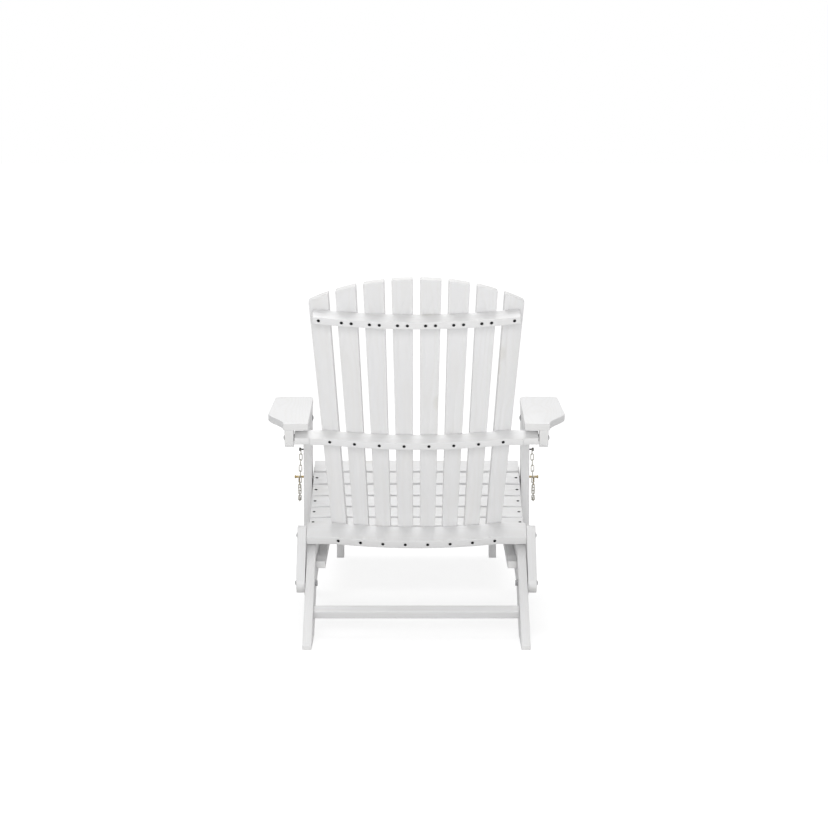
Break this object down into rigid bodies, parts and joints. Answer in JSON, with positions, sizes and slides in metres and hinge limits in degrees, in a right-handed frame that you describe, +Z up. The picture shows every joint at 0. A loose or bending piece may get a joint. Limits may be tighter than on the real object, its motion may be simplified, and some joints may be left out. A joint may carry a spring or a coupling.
{
  "type": "folding slatted garden lounge chair",
  "caption": "White painted wooden folding lounge chair with a curved fan back, wide arms, contoured slatted seat, lock pins on chains and a pull-out footrest.",
  "frame": {"origin": "middle of the bounding box on the floor, with the footrest pulled out", "axes": "+Z up, the chair faces -Y with its footrest, +X is the sitter's left"},
  "size_m": [0.75, 1.235, 0.8918],
  "materials": {
    "white": "white paint, satin",
    "shaded": "white paint, satin",
    "steel": "dull steel",
    "black": "black screws",
    "zinc": "yellow zinc"
  },
  "bodies": {
    "frame": {"stringer_left": "white", "stringer_right": "white", "rear_stretcher": "shaded", "seat_slat_1": "white", "seat_slat_2": "white", "seat_slat_3": "white", "seat_slat_4": "white", "seat_slat_5": "white", "seat_slat_6": "white", "footrest_runner_left": "white", "footrest_runner_right": "white", "frame_screws": "black", "frame_bolts": "steel"},
    "back": {"lower_rail": "white", "arm_rail": "white", "upper_rail": "white", "back_slat_1": "white", "back_slat_2": "white", "back_slat_3": "white", "back_slat_4": "white", "back_slat_5": "white", "back_slat_6": "white", "back_slat_7": "white", "back_slat_8": "white", "back_screws": "black", "back_bolts": "steel"},
    "footrest": {"footrest_rail_left": "white", "footrest_rail_right": "white", "footrest_leg_left": "shaded", "footrest_leg_right": "shaded", "footrest_slat_1": "white", "footrest_slat_2": "white", "footrest_slat_3": "white", "footrest_slat_4": "white", "footrest_slat_5": "white", "footrest_slat_6": "white", "footrest_slat_7": "white", "footrest_screws": "black"},
    "link_left": {"link_left": "white"},
    "leg_left": {"front_leg_left": "white", "leg_fittings_left": "steel", "chain_left": "steel"},
    "arm_left": {"arm_left": "white", "rear_cheek_left": "white", "front_cheek_left": "white", "arm_bolt_left": "steel"},
    "pin_left": {"lock_pin_left": "zinc"},
    "link_right": {"link_right": "white"},
    "leg_right": {"front_leg_right": "white", "leg_fittings_right": "steel", "chain_right": "steel"},
    "arm_right": {"arm_right": "white", "rear_cheek_right": "white", "front_cheek_right": "white", "arm_bolt_right": "steel"},
    "pin_right": {"lock_pin_right": "zinc"}
  },
  "joints": [
    {"name": "link_turn_left", "type": "hinge", "parent": "frame", "child": "link_left", "pos_m": [0.287, 0.3875, 0.1185], "axis": [-1, 0, 0], "range_deg": [0, 30.01]},
    {"name": "leg_turn_left", "type": "hinge", "parent": "frame", "child": "leg_left", "pos_m": [0.287, -0.0725, 0.178], "axis": [1, 0, 0], "range_deg": [0, 65.63]},
    {"name": "link_turn_right", "type": "hinge", "parent": "frame", "child": "link_right", "pos_m": [-0.287, 0.3875, 0.1185], "axis": [-1, 0, 0], "range_deg": [0, 30.01]},
    {"name": "leg_turn_right", "type": "hinge", "parent": "frame", "child": "leg_right", "pos_m": [-0.287, -0.0725, 0.178], "axis": [1, 0, 0], "range_deg": [0, 65.63]},
    {"name": "back_fold", "type": "hinge", "parent": "link_left", "child": "back", "pos_m": [0, 0.30712, 0.22412], "axis": [1, 0, 0], "range_deg": [0, 114]},
    {"name": "arm_turn_left", "type": "hinge", "parent": "back", "child": "arm_left", "pos_m": [0.313, 0.3938, 0.48358], "axis": [-1, 0, 0], "range_deg": [0, 77.53]},
    {"name": "pin_draw_left", "type": "slide", "parent": "leg_left", "child": "pin_left", "axis": [1, 0, 0], "range_m": [-0.012, 0.03], "deforming": ["chain_left"]},
    {"name": "arm_turn_right", "type": "hinge", "parent": "back", "child": "arm_right", "pos_m": [-0.313, 0.3938, 0.48358], "axis": [-1, 0, 0], "range_deg": [0, 77.53]},
    {"name": "pin_draw_right", "type": "slide", "parent": "leg_right", "child": "pin_right", "axis": [-1, 0, 0], "range_m": [-0.012, 0.03], "deforming": ["chain_right"]},
    {"name": "footrest_slide", "type": "slide", "parent": "frame", "child": "footrest", "axis": [0, 1, 0], "range_m": [0, 0.38]}
  ],
  "couplings": [
    {"joint": "link_turn_left", "follows": "back_fold", "ratio": 0.26316},
    {"joint": "leg_turn_left", "follows": "back_fold", "ratio": 0.57563},
    {"joint": "arm_turn_left", "follows": "back_fold", "ratio": 0.68001},
    {"joint": "link_turn_right", "follows": "back_fold", "ratio": 0.26316},
    {"joint": "leg_turn_right", "follows": "back_fold", "ratio": 0.57563},
    {"joint": "arm_turn_right", "follows": "back_fold", "ratio": 0.68001}
  ]
}
